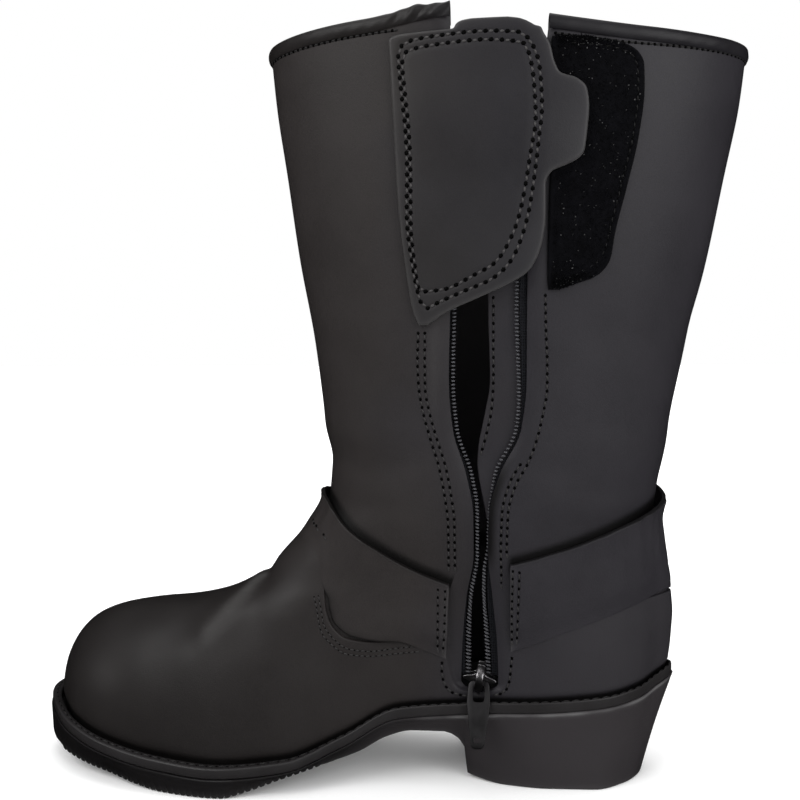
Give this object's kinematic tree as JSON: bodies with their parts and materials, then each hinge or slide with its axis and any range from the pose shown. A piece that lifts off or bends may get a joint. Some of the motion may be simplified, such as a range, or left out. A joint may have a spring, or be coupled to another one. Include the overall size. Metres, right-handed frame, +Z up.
{
  "type": "biker boot",
  "caption": "Right mid-calf biker boot with a round toe, ankle strap, open inner zip under a hook-and-loop flap, welted ribbed sole and stacked heel.",
  "frame": {"origin": "middle of the bounding box, on the floor under the sole", "axes": "+X towards the toe, +Y towards the inner side with the zip, +Z up"},
  "size_m": [0.3384, 0.1066, 0.3445],
  "materials": {
    "rubber": "matte black moulded rubber",
    "leather": "smooth satin black leather",
    "strap_leather": "smooth satin black leather, a little lighter",
    "lining": "dull black lining",
    "zip_textile": "woven black tape",
    "zip_teeth": "black plastic coil",
    "gunmetal": "dark metal, satin",
    "loop_pile": "black loop pile"
  },
  "bodies": {
    "boot": {"outsole": "rubber", "welt": "rubber", "insole": "lining", "upper": "leather", "ankle_strap": "strap_leather", "collar_binding": "leather", "zip_tape_front": "zip_textile", "zip_tape_rear": "zip_textile", "zip_teeth_front": "zip_teeth", "zip_teeth_rear": "zip_teeth", "zip_facing": "leather", "zip_slider": "gunmetal", "closure_flap": "leather", "loop_patch": "loop_pile"},
    "pull": {"zip_pull": "gunmetal"}
  },
  "joints": [
    {"name": "pull_hinge", "type": "hinge", "parent": "boot", "child": "pull", "pos_m": [-0.04555, 0.03475, 0.04903], "axis": [0.9964, -0.0845, 0], "range_deg": [0, 140]}
  ]
}
